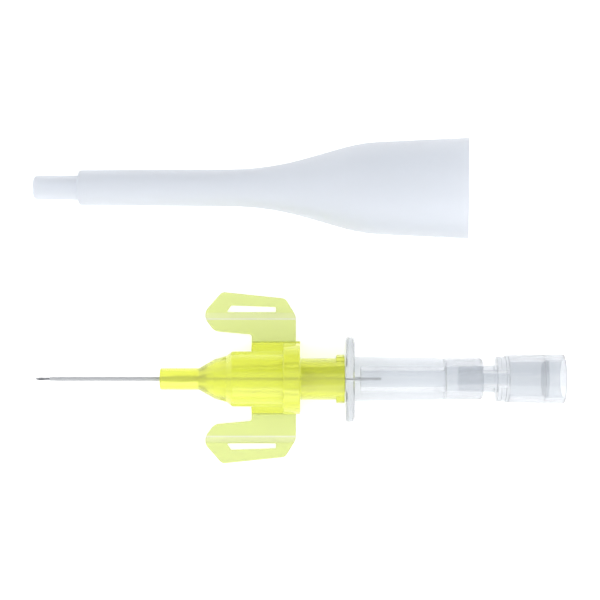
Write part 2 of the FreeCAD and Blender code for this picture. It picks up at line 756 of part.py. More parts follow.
pieces = [
    make_catheter(),
    make_ferrule(),
    make_cannula_hub(),
    make_wing("left_wing", 1),
    make_wing("right_wing", -1),
    make_needle(),
    make_bond(),
    make_needle_hub(),
    make_plug(),
    make_filter(),
    make_cap(),
]
doc.recompute()

for item in doc.Objects:
    if "Invalid" in item.State or "Error" in item.State:
        raise RuntimeError(f"{item.Label} did not build: {item.State}")
for piece in pieces:
    if piece.Shape.isNull() or not piece.Shape.isValid():
        raise RuntimeError(f"{piece.Label} has no sound solid")
for piece in pieces:
    piece.Shape.exportStep(f"parts/{piece.Label}.step")
    print(f"{piece.Label}: {len(piece.Shape.Solids)} solid, {piece.Shape.Volume:.2f} mm3")
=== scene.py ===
import math

import bmesh
import bpy
from bpy.props import FloatProperty, FloatVectorProperty, IntProperty, PointerProperty
from bpy.types import Operator, Panel, PropertyGroup
from mathutils import Euler, Matrix, Vector


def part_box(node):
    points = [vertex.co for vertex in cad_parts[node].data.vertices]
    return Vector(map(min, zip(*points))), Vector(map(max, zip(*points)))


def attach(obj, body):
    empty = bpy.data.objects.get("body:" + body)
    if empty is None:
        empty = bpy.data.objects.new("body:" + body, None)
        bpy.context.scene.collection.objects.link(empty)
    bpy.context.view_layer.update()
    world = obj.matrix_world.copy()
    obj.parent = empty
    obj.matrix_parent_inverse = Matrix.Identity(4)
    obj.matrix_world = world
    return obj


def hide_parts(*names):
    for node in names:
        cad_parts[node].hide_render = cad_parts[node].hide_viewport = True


bl_info = {
    "name": "Winged cannula",
    "version": (1, 0, 0),
    "blender": (4, 5, 0),
    "location": "View3D > Sidebar > Cannula",
    "description": "Dresses a winged intravenous cannula and its protective cap",
    "category": "Object",
}

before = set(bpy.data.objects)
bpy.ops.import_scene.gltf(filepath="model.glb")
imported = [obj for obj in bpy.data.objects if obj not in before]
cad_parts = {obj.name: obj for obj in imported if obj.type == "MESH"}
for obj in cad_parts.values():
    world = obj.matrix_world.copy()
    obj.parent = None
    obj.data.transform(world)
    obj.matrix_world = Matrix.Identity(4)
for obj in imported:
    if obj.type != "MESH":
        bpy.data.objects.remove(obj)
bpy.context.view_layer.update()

# The cannula's axis and the front face of its hub, taken from the solids
HUB_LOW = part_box("cannula_hub")[0]
BOND_LOW, BOND_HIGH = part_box("needle_bond")
AXIS_Y = (BOND_LOW.y + BOND_HIGH.y) / 2
AXIS_Z = (BOND_LOW.z + BOND_HIGH.z) / 2
FRONT_X = HUB_LOW.x
MM = 0.001
AXIS_PLACE = Matrix.Translation((FRONT_X, AXIS_Y, AXIS_Z))

# Stations along the cannula in millimetres behind the front face of its nose
BARREL_END = 22.4
HUB_REAR = 29.48
FLANGE_FRONT = 29.58
GRIP_START = 31.0
GRIP_END = 45.25
TAIL_END = 51.47
PLUG_REAR = 64.52
FOLD_LINE = 6.06
WING_REAR = 21.7
FLOOR = -AXIS_Z / MM


def linear(code):
    """The linear colour of an sRGB hex code."""
    parts = [int(code[i:i + 2], 16) / 255 for i in (1, 3, 5)]
    return tuple(c / 12.92 if c <= 0.04045 else ((c + 0.055) / 1.055) ** 2.4 for c in parts)


def pattern(size):
    """The texture scale that makes a pattern repeat at a size in millimetres."""
    return 1 / (size * MM)


# Profiles

def rounded(corners, closed=False, steps=5):
    """Points along straight lines through (x, y, round) corners, each corner turned into an arc."""
    points = []
    count = len(corners)
    for index, corner in enumerate(corners):
        here = Vector(corner[:2])
        size = corner[2] if len(corner) > 2 else 0
        if size == 0 or (not closed and index in (0, count - 1)):
            points.append(here)
            continue
        before = Vector(corners[index - 1][:2]) - here
        after = Vector(corners[(index + 1) % count][:2]) - here
        half = before.angle(after) / 2
        reach = min(size / math.tan(half), before.length * 0.48, after.length * 0.48)
        radius = reach * math.tan(half)
        inwards = (before.normalized() + after.normalized()).normalized()
        centre = here + inwards * (radius / math.sin(half))
        first = here + before.normalized() * reach - centre
        turn = first.angle_signed(here + after.normalized() * reach - centre)
        for step in range(steps + 1):
            points.append(centre + Matrix.Rotation(-turn * step / steps, 2) @ first)
    return points


def bend(station, radius, slope_in, slope_out, run, steps=8):
    """Corners that turn one slope into the next along a run about a station, as a parabola does."""
    start = station - run / 2
    low = radius - slope_in * run / 2
    distances = [run * step / steps for step in range(steps + 1)]
    return [(start + d, low + slope_in * d + (slope_out - slope_in) * d * d / (2 * run)) for d in distances]


def arc(radius, turns, middle=(0, 0)):
    """Points on a circle at the angles given."""
    return [(middle[0] + radius * math.cos(turn), middle[1] + radius * math.sin(turn)) for turn in turns]


# Building blocks

MERGE_DISTANCE = 1e-7
ACROSS_AXIS = ((0, 1, 0), (0, 0, 1), (1, 0, 0))
FLAT = ((1, 0, 0), (0, 1, 0), (0, 0, 1))


def add(tree, kind, inputs=None, **settings):
    """Adds a node with its settings; an input's value is a number or the output linked to it."""
    made = tree.nodes.new(kind)
    for name, choice in settings.items():
        setattr(made, name, choice)
    for name, given in (inputs or {}).items():
        if isinstance(given, bpy.types.NodeSocket):
            tree.links.new(given, made.inputs[name])
        else:
            made.inputs[name].default_value = given
    return made


def turned_tree():
    """A tree that turns a profile of (x, radius) points about the X axis into a closed shell."""
    tree = bpy.data.node_groups.new("Turned form", "GeometryNodeTree")
    face = tree.interface
    face.new_socket("Profile", in_out="INPUT", socket_type="NodeSocketGeometry")
    face.new_socket("Segments", in_out="INPUT", socket_type="NodeSocketInt")
    face.new_socket("Merge Distance", in_out="INPUT", socket_type="NodeSocketFloat")
    face.new_socket("Finish", in_out="INPUT", socket_type="NodeSocketMaterial")
    face.new_socket("Form", in_out="OUTPUT", socket_type="NodeSocketGeometry")
    given = add(tree, "NodeGroupInput").outputs
    size = add(tree, "GeometryNodeAttributeDomainSize", {"Geometry": given["Profile"]}, component="MESH")
    points = size.outputs["Point Count"]
    columns = add(tree, "FunctionNodeIntegerMath", {0: given["Segments"], 1: 1}, operation="ADD")
    grid = add(tree, "GeometryNodeMeshGrid", {"Vertices X": columns.outputs[0], "Vertices Y": points})
    index = add(tree, "GeometryNodeInputIndex").outputs[0]
    along = add(tree, "FunctionNodeIntegerMath", {0: index, 1: points}, operation="MODULO")
    round_count = add(tree, "FunctionNodeIntegerMath", {0: index, 1: points}, operation="DIVIDE_FLOOR")
    place = add(tree, "GeometryNodeInputPosition").outputs[0]
    sample = add(tree, "GeometryNodeSampleIndex", {
        "Geometry": given["Profile"], "Value": place, "Index": along.outputs[0],
    }, data_type="FLOAT_VECTOR")
    corner = add(tree, "ShaderNodeSeparateXYZ", {0: sample.outputs["Value"]}).outputs
    share = add(tree, "ShaderNodeMath", {0: round_count.outputs[0], 1: given["Segments"]}, operation="DIVIDE")
    angle = add(tree, "ShaderNodeMath", {0: share.outputs[0], 1: math.tau}, operation="MULTIPLY")
    cosine = add(tree, "ShaderNodeMath", {0: angle.outputs[0]}, operation="COSINE")
    sine = add(tree, "ShaderNodeMath", {0: angle.outputs[0]}, operation="SINE")
    across = add(tree, "ShaderNodeMath", {0: corner["Y"], 1: cosine.outputs[0]}, operation="MULTIPLY")
    up = add(tree, "ShaderNodeMath", {0: corner["Y"], 1: sine.outputs[0]}, operation="MULTIPLY")
    on_circle = add(tree, "ShaderNodeCombineXYZ", {
        "X": corner["X"], "Y": across.outputs[0], "Z": up.outputs[0],
    })
    moved = add(tree, "GeometryNodeSetPosition", {
        "Geometry": grid.outputs["Mesh"], "Position": on_circle.outputs[0],
    })
    merged = add(tree, "GeometryNodeMergeByDistance", {
        "Geometry": moved.outputs[0], "Distance": given["Merge Distance"],
    })
    real = add(tree, "GeometryNodeRealizeInstances", {"Geometry": merged.outputs[0]})
    dressed = add(tree, "GeometryNodeSetMaterial", {
        "Geometry": real.outputs[0], "Material": given["Finish"],
    })
    add(tree, "NodeGroupOutput", {"Form": dressed.outputs[0]})
    return tree


def put(name, mesh):
    """Links a new object that holds a mesh."""
    piece = bpy.data.objects.new(name, mesh)
    bpy.context.scene.collection.objects.link(piece)
    return piece


def settle(piece):
    """Turns a piece and its modifiers into one plain mesh."""
    graph = bpy.context.evaluated_depsgraph_get()
    mesh = bpy.data.meshes.new_from_object(piece.evaluated_get(graph))
    piece.modifiers.clear()
    piece.data = mesh
    mesh.name = piece.name
    return piece


def outwards(piece):
    """Merges doubled points and points all faces outwards."""
    shell = bmesh.new()
    shell.from_mesh(piece.data)
    bmesh.ops.remove_doubles(shell, verts=shell.verts, dist=MERGE_DISTANCE)
    bmesh.ops.recalc_face_normals(shell, faces=shell.faces)
    shell.to_mesh(piece.data)
    shell.free()
    return piece


def turned(name, profile, finish, place=AXIS_PLACE, segments=96, closed=False):
    """A turned piece from profile points in millimetres, set in its place."""
    points = [Vector((p[0] * MM, p[1] * MM, 0)) for p in profile]
    if closed:
        points.append(points[0].copy())
    mesh = bpy.data.meshes.new(name)
    mesh.from_pydata(points, [], [])
    piece = put(name, mesh)
    tree = bpy.data.node_groups.get("Turned form") or turned_tree()
    step = piece.modifiers.new("Turned form", "NODES")
    step.node_group = tree
    sockets = {item.name: item.identifier for item in tree.interface.items_tree if item.in_out == "INPUT"}
    step[sockets["Segments"]] = segments
    step[sockets["Merge Distance"]] = MERGE_DISTANCE
    step[sockets["Finish"]] = finish
    settle(piece)
    piece.data.transform(place)
    return outwards(piece)


def extruded(name, outline, low, high, axes, round_size=0.0):
    """A closed prism from outline points in millimetres; axes are the outline's two and its length's."""
    shell = bmesh.new()
    turn = Matrix(axes).transposed()
    rim = [shell.verts.new(turn @ Vector((p[0], p[1], low)) * MM) for p in outline]
    face = shell.faces.new(rim)
    top = bmesh.ops.extrude_face_region(shell, geom=[face])["geom"]
    shift = turn @ Vector((0, 0, high - low)) * MM
    corners = [item for item in top if isinstance(item, bmesh.types.BMVert)]
    bmesh.ops.translate(shell, vec=shift, verts=corners)
    bmesh.ops.recalc_face_normals(shell, faces=shell.faces)
    if round_size:
        edges = [edge for edge in shell.edges if edge.calc_face_angle(0) > math.radians(50)]
        bmesh.ops.bevel(shell, geom=edges, offset=round_size * MM, segments=3, affect="EDGES", profile=0.5)
    mesh = bpy.data.meshes.new(name)
    shell.to_mesh(mesh)
    shell.free()
    mesh.transform(AXIS_PLACE)
    return put(name, mesh)


def combine(piece, other, operation):
    """Joins another closed shell to a piece, or cuts it away, and removes the other."""
    step = piece.modifiers.new("combine", "BOOLEAN")
    step.operation = operation
    step.solver = "EXACT"
    step.object = other
    settle(piece)
    bpy.data.objects.remove(other)
    return piece


def finished(piece, node, body, finish, sharp=40):
    """Gives a piece its material and smooth faces, and sets it on its body in place of its solid."""
    outwards(piece)
    mesh = piece.data
    mesh.materials.clear()
    mesh.materials.append(finish)
    mesh.polygons.foreach_set("material_index", [0] * len(mesh.polygons))
    mesh.shade_smooth()
    mesh.set_sharp_from_angle(angle=math.radians(sharp))
    step = piece.modifiers.new("weighted", "WEIGHTED_NORMAL")
    step.keep_sharp = True
    settle(piece)
    if not piece.data.polygons:
        raise RuntimeError(f"{piece.name} came out empty")
    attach(piece, body)
    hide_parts(node)
    return piece


# Materials

# Sockets of a Mix node that mixes colours
MIX_FIRST, MIX_SECOND, MIX_RESULT = 6, 7, 2


def blend(tree, factor, first, second):
    """The output that mixes two colours; each is a linear colour or the output linked to it."""
    colours = [c if isinstance(c, bpy.types.NodeSocket) else (*c, 1) for c in (first, second)]
    mix = add(tree, "ShaderNodeMix", {
        "Factor": factor, MIX_FIRST: colours[0], MIX_SECOND: colours[1],
    }, data_type="RGBA")
    return mix.outputs[MIX_RESULT]


def blank(name):
    """A new material without nodes, its tree and the output of Object coordinates in it."""
    material = bpy.data.materials.new(name)
    material.use_nodes = True
    tree = material.node_tree
    tree.nodes.clear()
    return material, tree, add(tree, "ShaderNodeTexCoord").outputs["Object"]


def plastic(name, colour, spread, inputs, grain=0.35, strength=0.05, mottle=6.0, clear=0.0):
    """A moulded plastic: its colour drifts a little along the flow, and it has a fine orange peel."""
    material, tree, place = blank(name)
    stretched = add(tree, "ShaderNodeMapping", {"Vector": place, "Scale": (0.35, 1, 1)}).outputs[0]
    flow = add(tree, "ShaderNodeTexNoise", {"Vector": stretched, "Scale": pattern(mottle), "Detail": 3.0})
    tint = blend(tree, flow.outputs["Fac"], colour, [min(1, c * spread) for c in colour])
    peel = add(tree, "ShaderNodeTexNoise", {"Vector": place, "Scale": pattern(grain), "Detail": 2.0})
    bump = add(tree, "ShaderNodeBump", {
        "Height": peel.outputs["Fac"], "Strength": strength, "Distance": 0.05 * MM,
    })
    shader = add(tree, "ShaderNodeBsdfPrincipled", {
        "Base Color": tint, "Normal": bump.outputs[0], **inputs,
    })
    if not clear:
        add(tree, "ShaderNodeOutputMaterial", {"Surface": shader.outputs[0]})
        return material
    # Light reaches what lies inside a thin clear wall as if the wall only dimmed it
    shadow = add(tree, "ShaderNodeLightPath").outputs["Is Shadow Ray"]
    share = add(tree, "ShaderNodeMath", {0: shadow, 1: clear}, operation="MULTIPLY")
    through = add(tree, "ShaderNodeBsdfTransparent", {"Color": tint})
    mixed = add(tree, "ShaderNodeMixShader", {
        0: share.outputs[0], 1: shader.outputs[0], 2: through.outputs[0],
    })
    add(tree, "ShaderNodeOutputMaterial", {"Surface": mixed.outputs[0]})
    return material


def moulded_yellow_hub():
    """Polypropylene from a mirror-bright tool: light passes through it and picks up the yellow dye."""
    colours = bpy.context.scene.cannula_colours
    return plastic("Moulded yellow polypropylene", tuple(colours.hub), 0.94, {
        "Roughness": 0.16, "IOR": 1.49, "Transmission Weight": 0.68,
        "Coat Weight": 0.5, "Coat Roughness": 0.08, "Coat IOR": 1.49,
    }, strength=0.03, clear=0.6)


def moulded_yellow_wing():
    """The same polypropylene where it is thin: pale, a little more washed out in the thinner strip where
    least dye is, and with a painted highlight, a narrow whitish line, along the strip's inner edge.
    """
    colours = bpy.context.scene.cannula_colours
    material = plastic("Thin moulded yellow polypropylene", tuple(colours.wing), 0.95, {
        "Roughness": 0.2, "IOR": 1.49, "Transmission Weight": 0.5,
    }, mottle=4.0, clear=0.5)
    tree = material.node_tree
    shader = next(item for item in tree.nodes if item.type == "BSDF_PRINCIPLED")
    place = add(tree, "ShaderNodeTexCoord").outputs["Object"]
    side = add(tree, "ShaderNodeSeparateXYZ", {0: place}).outputs["Y"]
    from_axis = add(tree, "ShaderNodeMath", {0: side, 1: AXIS_Y}, operation="SUBTRACT")
    apart = add(tree, "ShaderNodeMath", {0: from_axis.outputs[0]}, operation="ABSOLUTE")
    span = 8
    rise = add(tree, "ShaderNodeMapRange", {
        "Value": apart.outputs[0], "From Min": FOLD_LINE * MM, "From Max": (FOLD_LINE + span) * MM,
    })
    strip = add(tree, "ShaderNodeValToRGB", {"Fac": rise.outputs[0]})
    stops = strip.color_ramp.elements
    # Millimetres out from the fold, and the share of the washed-out colour there: the full share from 3.4 to
    # 3.55 is a painted highlight along the strip's inner edge, and the third share across the strip is its
    # thinner wall
    strip_and_highlight_levels = ((0, 0), (3.3, 0), (3.4, 1), (3.55, 1), (3.65, 0.32), (4.45, 0.32), (4.55, 0))
    for index, (reach, share) in enumerate(strip_and_highlight_levels):
        stop = stops[index] if index < len(stops) else stops.new(reach / span)
        stop.position = reach / span
        stop.color = (share, share, share, 1)
    dyed = shader.inputs["Base Color"].links[0].from_socket
    # The whitish colour gives both the wash-out of the thin strip and the painted highlight at its edge
    washed_out_and_highlight = blend(tree, strip.outputs[0], dyed, linear("#FBFBEC"))
    tree.links.new(washed_out_and_highlight, shader.inputs["Base Color"])
    return material


def moulded_clear():
    """Clear styrene-acrylic moulding: bright lines where its walls bend light, a faint grey-blue body."""
    colours = bpy.context.scene.cannula_colours
    return plastic("Moulded clear copolymer", tuple(colours.clear), 0.97, {
        "Roughness": 0.05, "IOR": 1.56, "Transmission Weight": 0.78,
    }, grain=0.5, strength=0.04, clear=0.9)


def frosted_cap():
    """Natural polypropylene from a blasted tool: milky and soft, with hardly a reflection."""
    colours = bpy.context.scene.cannula_colours
    return plastic("Frosted natural polypropylene", tuple(colours.cap), 0.97, {
        "Roughness": 0.38, "IOR": 1.49, "Transmission Weight": 0.45,
    }, grain=0.25, strength=0.12, mottle=9.0, clear=0.6)


def extruded_tube():
    """Extruded fluoropolymer: a thin, slightly milky skin with a waxy gloss over the steel."""
    return plastic("Extruded fluoropolymer", linear("#DEE0E2"), 0.96, {
        "Roughness": 0.12, "IOR": 1.34, "Transmission Weight": 0.5,
    }, grain=0.4, strength=0.03, clear=0.9)


def cured_adhesive():
    """Cured adhesive: glossy and amber, so that it shows as a darker band through the clear nose."""
    return plastic("Cured acrylic adhesive", linear("#A39C78"), 0.9, {
        "Roughness": 0.1, "IOR": 1.5, "Transmission Weight": 0.5,
    })


def sintered_filter():
    """Sintered porous polyethylene: chalk white and grainy, with no gloss."""
    return plastic("Sintered porous polyethylene", linear("#E6EAEE"), 0.86, {
        "Roughness": 0.9, "IOR": 1.5,
    }, grain=0.12, strength=0.6, mottle=0.3)


def drawn_steel():
    """Drawn and ground stainless steel: fine scratches along the tube stretch its highlights."""
    material, tree, place = blank("Drawn stainless steel")
    along = add(tree, "ShaderNodeMapping", {"Vector": place, "Scale": (0.02, 1, 1)}).outputs[0]
    # Drawing lines are about 0.01 mm apart; 0.08 mm is the finest that shows here
    lines = add(tree, "ShaderNodeTexNoise", {"Vector": along, "Scale": pattern(0.08), "Detail": 2.0})
    gloss = add(tree, "ShaderNodeMapRange", {
        "Value": lines.outputs["Fac"], "To Min": 0.16, "To Max": 0.34,
    })
    tint = blend(tree, lines.outputs["Fac"], linear("#808285"), linear("#A8AAAD"))
    bump = add(tree, "ShaderNodeBump", {
        "Height": lines.outputs["Fac"], "Strength": 0.15, "Distance": 0.01 * MM,
    })
    shader = add(tree, "ShaderNodeBsdfPrincipled", {
        "Base Color": tint, "Metallic": 1.0, "Roughness": gloss.outputs[0], "Normal": bump.outputs[0],
    })
    add(tree, "ShaderNodeOutputMaterial", {"Surface": shader.outputs[0]})
    return material


def sheet_acrylic():
    """White acrylic sheet lit from under: an even, nearly shadowless table."""
    material, tree, place = blank("White acrylic sheet")
    cloud = add(tree, "ShaderNodeTexNoise", {"Vector": place, "Scale": pattern(40.0)})
    tint = blend(tree, cloud.outputs["Fac"], linear("#E7E7E7"), linear("#EAEAEA"))
    table = bpy.context.scene.cannula_stage
    shader = add(tree, "ShaderNodeBsdfPrincipled", {
        "Base Color": tint, "Roughness": 0.9, "IOR": 1.49, "Specular IOR Level": 0.1,
        "Emission Color": (*linear("#FFFFFF"), 1), "Emission Strength": table.glow,
    })
    add(tree, "ShaderNodeOutputMaterial", {"Surface": shader.outputs[0]})
    return material


def shared(name, make):
    """The material of that name, made on first use."""
    return bpy.data.materials.get(name) or make()


# Properties

def length(name, description, millimetres):
    """A length property with its default in millimetres."""
    return FloatProperty(
        name=name, description=description, default=millimetres * MM, subtype="DISTANCE", unit="LENGTH",
        precision=5)


def dye(name, description, code):
    """A colour property with its default as an sRGB hex code."""
    return FloatVectorProperty(
        name=name, description=description, subtype="COLOR", size=3, min=0, max=1, default=linear(code))


class CannulaHubSizes(PropertyGroup):
    """Sizes of the yellow hub and the catheter, in metres."""
    nose_radius: length("Nose Radius", "Radius of the hub's nose", 1.74)
    barrel_radius: length("Barrel Radius", "Radius of the hub's barrel", 4.46)
    collar_radius: length("Collar Radius", "Radius of the collar behind the wings", 5.66)
    socket_radius: length("Socket Radius", "Outside radius of the luer socket", 3.34)
    edge_round: length("Edge Round", "Round along the hub's moulded edges", 0.22)
    segments: IntProperty(
        name="Segments", description="Facets round each turned piece", default=96, min=24, max=192)


class CannulaWingSizes(PropertyGroup):
    """Sizes of the two wings, in metres."""
    thickness: length("Thickness", "Thickness of the wing's plate", 0.6)
    edge_round: length("Edge Round", "Round along the plate's edges", 0.12)
    groove_depth: length("Groove Depth", "Depth of the shallow strip along the wing", 0.2)


class CannulaClearSizes(PropertyGroup):
    """Sizes of the clear needle hub and plug, in metres."""
    flange_corner: length("Flange Corner", "Corner radius of the thumb flange", 2.4)
    chamber_radius: length("Chamber Radius", "Inside radius of the flash chamber", 1.32)
    vent_radius: length("Vent Radius", "Bore of the plug's nose", 0.9)


class CannulaCapSizes(PropertyGroup):
    """Sizes of the protective cap, in metres."""
    wall: length("Wall", "Thickness of the cap's wall", 0.8)
    mouth_radius: length("Mouth Radius", "Radius at the cap's open end", 7.925)


class CannulaColours(PropertyGroup):
    """Colours of the plastics, linear."""
    hub: dye("Hub", "Yellow of the thick hub", "#F7FC68")
    wing: dye("Wing", "Yellow of the thin wings", "#F2FAB0")
    clear: dye("Clear", "Tint of the clear moulding", "#E9ECEF")
    cap: dye("Cap", "Tint of the frosted cap", "#F0F4F9")


class CannulaStage(PropertyGroup):
    """Camera, table and light."""
    camera_height: FloatProperty(
        name="Camera Height", description="Height of the camera over the table", default=0.274,
        subtype="DISTANCE", unit="LENGTH")
    camera_angle: FloatProperty(
        name="Camera Angle", description="Angle that the camera takes in", default=math.radians(20.2),
        subtype="ANGLE", unit="ROTATION")
    glow: FloatProperty(name="Table Glow", description="Light that the table gives by itself", default=0.5)
    sky: FloatProperty(name="Room Light", description="Strength of the even light of the room", default=1.15)
    card: FloatProperty(
        name="Grey Card", description="Share of the room light that the card gives back", default=0.35)
    softbox: FloatProperty(
        name="Softbox Power", description="Watts of the softbox", default=0.32, unit="POWER")


# Operators

class CANNULA_OT_stage(Operator):
    """Sets the table, the room light, the softbox and the camera"""
    bl_idname = "cannula.stage"
    bl_label = "Set Stage"

    def execute(self, context):
        stage = context.scene.cannula_stage
        half, level = 1.5, -0.02 * MM
        mesh = bpy.data.meshes.new("table_top")
        corners = [(-half, -half, level), (half, -half, level), (half, half, level), (-half, half, level)]
        mesh.from_pydata(corners, [], [(0, 1, 2, 3)])
        mesh.materials.append(shared("White acrylic sheet", sheet_acrylic))
        put("table_top", mesh)

        world = bpy.data.worlds.new("Studio")
        world.use_nodes = True
        room = world.node_tree
        sky = room.nodes["Background"]
        sky.inputs["Color"].default_value = (*linear("#FDFDFF"), 1)
        # A grey card low on the far side draws the dark lines along steel and clear walls
        towards = add(room, "ShaderNodeTexCoord").outputs["Generated"]
        parts = add(room, "ShaderNodeSeparateXYZ", {0: towards}).outputs
        far_side = add(room, "ShaderNodeMapRange", {
            "Value": parts["Y"], "From Min": 0.45, "From Max": 0.6,
        }, interpolation_type="SMOOTHSTEP")
        aside = add(room, "ShaderNodeMath", {0: parts["X"]}, operation="ABSOLUTE")
        middle = add(room, "ShaderNodeMapRange", {
            "Value": aside.outputs[0], "From Min": 0.5, "From Max": 0.3,
        }, interpolation_type="SMOOTHSTEP")
        card = add(room, "ShaderNodeMath", {
            0: far_side.outputs[0], 1: middle.outputs[0],
        }, operation="MULTIPLY")
        light = add(room, "ShaderNodeMapRange", {
            "Value": card.outputs[0], "To Min": stage.sky, "To Max": stage.sky * stage.card,
        })
        room.links.new(light.outputs[0], sky.inputs["Strength"])
        context.scene.world = world

        softbox = bpy.data.lights.new("softbox", "AREA")
        softbox.shape = "RECTANGLE"
        softbox.size, softbox.size_y = 0.25, 0.42
        softbox.energy = stage.softbox
        softbox.color = linear("#FFFDFC")
        lamp = bpy.data.objects.new("softbox", softbox)
        lamp.location = (0.0, -0.42, 0.30)
        aim = Vector((0, -0.012, 0)) - lamp.location
        lamp.rotation_euler = aim.to_track_quat("-Z", "Y").to_euler()
        context.scene.collection.objects.link(lamp)

        lens = bpy.data.cameras.new("camera")
        lens.sensor_width = 36
        lens.angle = stage.camera_angle
        lens.clip_start, lens.clip_end = 0.01, 10
        camera = bpy.data.objects.new("camera", lens)
        camera.location = (0.41 * MM, 0.515 * MM, stage.camera_height)
        context.scene.collection.objects.link(camera)
        context.scene.camera = camera
        context.scene.view_settings.view_transform = "Standard"
        return {"FINISHED"}


class CANNULA_OT_hub(Operator):
    """Makes the yellow hub: turned form, saddle, collar, luer lugs and stepped bore"""
    bl_idname = "cannula.hub"
    bl_label = "Make Hub"

    def execute(self, context):
        sizes = context.scene.cannula_hub
        nose, barrel = sizes.nose_radius / MM, sizes.barrel_radius / MM
        collar, socket = sizes.collar_radius / MM, sizes.socket_radius / MM
        edge = sizes.edge_round / MM
        finish = shared("Moulded yellow polypropylene", moulded_yellow_hub)
        hub = turned("hub_moulding", rounded([
            (0, 0), (0, nose, edge), (6.2, nose, 0.8), (8.7, 3.2, 1.2), (10.65, 3.75, 0.6),
            (11.52, barrel, 0.6), (BARREL_END, barrel), (BARREL_END, socket, 0.15),
            (HUB_REAR, socket, 0.15), (HUB_REAR, 0),
        ]), finish, segments=sizes.segments)
        top = FLOOR + 1.5
        root_y, root_z, root_r = FOLD_LINE, FLOOR + 0.3, 0.31
        seat = arc(root_r, [math.radians(angle) for angle in (240, 225, 205, 180)], (root_y, root_z))
        side = [
            (seat[0][0], FLOOR), *seat, (seat[-1][0] - 0.02, top - 0.3), (collar - 0.3, top),
            (barrel * 0.95, -0.62),
        ]
        section = side + [(-y, z) for y, z in reversed(side)]
        saddle_length, collar_length = 7.88, 2.76
        saddle = extruded("saddle", section, BARREL_END - saddle_length, BARREL_END, ACROSS_AXIS)
        combine(hub, saddle, "UNION")
        start = math.asin(FLOOR / collar)
        disc = arc(collar, [start + (math.pi - 2 * start) * i / 72 for i in range(73)])
        ring = extruded("collar", disc, BARREL_END - collar_length, BARREL_END, ACROSS_AXIS, edge)
        combine(hub, ring, "UNION")
        lug_half, lug_reach, lug_length, lug_round = 1.75, 3.92, 1.37, 0.12
        turn = math.asin(lug_half / lug_reach)
        right = arc(lug_reach, [turn * (i / 6 - 1) for i in range(13)])
        both = right + [(-y, -z) for y, z in right]
        lugs = extruded("lugs", both, HUB_REAR - lug_length, HUB_REAR, ACROSS_AXIS, lug_round)
        combine(hub, lugs, "UNION")
        cavity, luer_start, past = 1.6, 19.08, HUB_REAR + 0.5
        bore = turned("bore", rounded([
            (-0.5, 0), (-0.5, 0.37), (2.2, 0.37), (2.7, 0.47), (6.4, 0.47), (7.7, 0.84), (7.85, 0.84),
            (7.85, 1.05, 0.1), (11.5, cavity, 1.0), (luer_start, cavity), (luer_start, 1.828),
            (HUB_REAR, 2.14), (past, 2.155), (past, 0),
        ]), finish, segments=sizes.segments)
        combine(hub, bore, "DIFFERENCE")
        finished(hub, "cannula_hub", "cannula", finish)
        return {"FINISHED"}


class CANNULA_OT_wings(Operator):
    """Makes both wings: a slotted plate with a shallow strip and a round root"""
    bl_idname = "cannula.wings"
    bl_label = "Make Wings"

    def execute(self, context):
        sizes = context.scene.cannula_wings
        thick, edge, depth = sizes.thickness / MM, sizes.edge_round / MM, sizes.groove_depth / MM
        top = FLOOR + thick
        root_length, lobe_reach, lobe_round, strip_near, strip_far = 7.2, 14.72, 1.75, 3.4, 4.5
        finish = shared("Thin moulded yellow polypropylene", moulded_yellow_wing)
        for side, node in ((1, "left_wing"), (-1, "right_wing")):
            def at(reach, rise, size=0):
                """A corner by its way forward from the wing's rear and out from its fold."""
                return (WING_REAR - reach, side * (FOLD_LINE + rise), size)

            outline = rounded([
                at(root_length, 0), at(root_length, 0.95, 0.4), at(13.27, 1.5, lobe_round),
                at(lobe_reach, 3.45, lobe_round), at(lobe_reach, 4.8, lobe_round), at(12.0, 7.88, 1),
                at(1.74, 6.82, 1), at(0, 4.0, lobe_round), at(0, 0),
            ], closed=True)
            slot = rounded([
                at(11.25, 4.6, 0.14), at(10.5, 5.65, 0.14), at(3.25, 5.4, 0.14), at(3.25, 4.6, 0.14),
            ], closed=True)
            wing = extruded(node.replace("_", "_moulded_"), outline, FLOOR, top, FLAT, edge)
            combine(wing, extruded("slot", slot, FLOOR - 1, top + 1, FLAT), "DIFFERENCE")
            strip = rounded([
                at(16, strip_near), at(16, strip_far), at(-2, strip_far), at(-2, strip_near),
            ], closed=True)
            combine(wing, extruded("strip", strip, top - depth, top + 1, FLAT), "DIFFERENCE")
            front = WING_REAR - root_length
            root_profile = [(front, 0), (front, thick / 2), (WING_REAR, thick / 2), (WING_REAR, 0)]
            place = AXIS_PLACE @ Matrix.Translation((0, side * FOLD_LINE * MM, (FLOOR + thick / 2) * MM))
            combine(wing, turned("root", root_profile, finish, place=place, segments=32), "UNION")
            finished(wing, node, f"{node}_body", finish)
        return {"FINISHED"}


class CANNULA_OT_catheter(Operator):
    """Makes the catheter tube and the ferrule that holds it"""
    bl_idname = "cannula.catheter"
    bl_label = "Make Catheter"

    def execute(self, context):
        skin = shared("Extruded fluoropolymer", extruded_tube)
        steel = shared("Drawn stainless steel", drawn_steel)
        tube = turned("catheter_extrusion", rounded([
            (-17.7, 0.255), (-17.7, 0.29, 0.02), (-16.1, 0.35, 0.6), (2.2, 0.35), (2.7, 0.44), (5.2, 0.44),
            (5.2, 0.345), (2.7, 0.345), (2.2, 0.255),
        ], closed=True), skin, segments=48, closed=True)
        finished(tube, "catheter_tube", "cannula", skin)
        funnel = turned("drawn_ferrule", rounded([
            (2.715, 0.27), (2.715, 0.33), (5.215, 0.33), (5.215, 0.44), (6.4, 0.44, 0.3), (7.7, 0.82),
            (7.7, 0.76), (6.4, 0.38, 0.3), (5.275, 0.38), (5.275, 0.27),
        ], closed=True), steel, segments=64, closed=True)
        finished(funnel, "catheter_ferrule", "cannula", steel)
        return {"FINISHED"}


